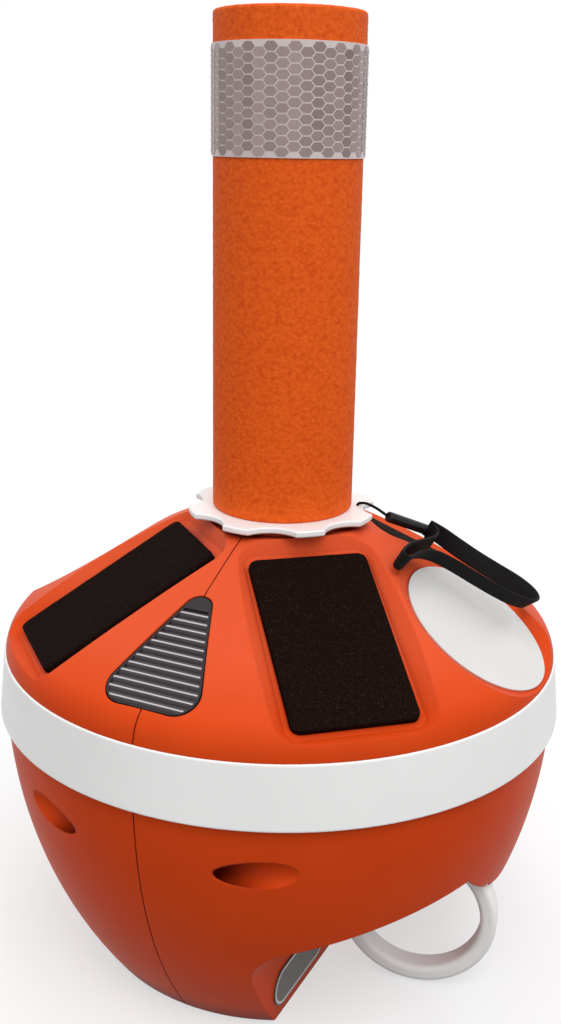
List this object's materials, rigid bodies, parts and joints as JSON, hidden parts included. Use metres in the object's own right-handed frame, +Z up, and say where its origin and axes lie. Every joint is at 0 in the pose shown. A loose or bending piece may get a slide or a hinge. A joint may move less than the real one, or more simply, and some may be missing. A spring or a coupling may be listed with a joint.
{
  "type": "anchor retrieval buoy",
  "caption": "round two-part float with foam pads in its domed top, a toothed hand wheel under a foam mast, a wrist lanyard, and a swinging pull ring in a cut-away under one side",
  "frame": {"origin": "centre of the flat base, on the surface it stands on", "axes": "+Z up the mast, -Y towards the front lens, +X towards the cut-away side with the pull ring"},
  "size_m": [0.2668, 0.2668, 0.431],
  "materials": {
    "hull_orange": "moulded orange-red plastic with a satin gloss",
    "band_white": "white plastic belt",
    "pad_foam": "black closed-cell foam",
    "sign_white": "blank white vinyl",
    "plate_grey": "blank grey oval plate with a dark rim",
    "lens_clear": "clear ribbed plastic",
    "tray_silver": "dark silvered tray",
    "bolt_steel": "stainless steel",
    "wheel_white": "white moulded plastic",
    "mast_foam": "orange pebbled foam",
    "tape_silver": "silver honeycomb reflective tape",
    "ring_white": "off-white moulded plastic",
    "lanyard_black": "black woven cord and webbing",
    "slider_black": "black plastic"
  },
  "bodies": {
    "hull": {"shell_right": "hull_orange", "shell_left": "hull_orange", "equator_band": "band_white", "pad_front_right": "pad_foam", "pad_rear_right": "pad_foam", "pad_rear_left": "pad_foam", "pad_front_left": "pad_foam", "sign": "sign_white", "keel_plate": "plate_grey", "lens_front": "lens_clear", "lens_rear": "lens_clear", "lens_tray_front": "tray_silver", "lens_tray_rear": "tray_silver", "clamp_bolt_front": "bolt_steel", "clamp_bolt_rear": "bolt_steel", "ring_pin": "bolt_steel"},
    "mast": {"hand_wheel": "wheel_white", "foam_tube": "mast_foam", "reflective_tape": "tape_silver", "lanyard_cord": "lanyard_black", "lanyard_slider": "slider_black", "lanyard_loop": "lanyard_black"},
    "ring": {"pull_ring": "ring_white"}
  },
  "joints": [
    {"name": "wheel_turn", "type": "hinge", "parent": "hull", "child": "mast", "pos_m": [0, 0, 0.214], "axis": [0, 0, 1], "continuous": true},
    {"name": "ring_swing", "type": "hinge", "parent": "hull", "child": "ring", "pos_m": [0.085, -0.021, 0.0714], "axis": [0.9781, 0.2079, 0], "range_deg": [-30, 30]}
  ]
}
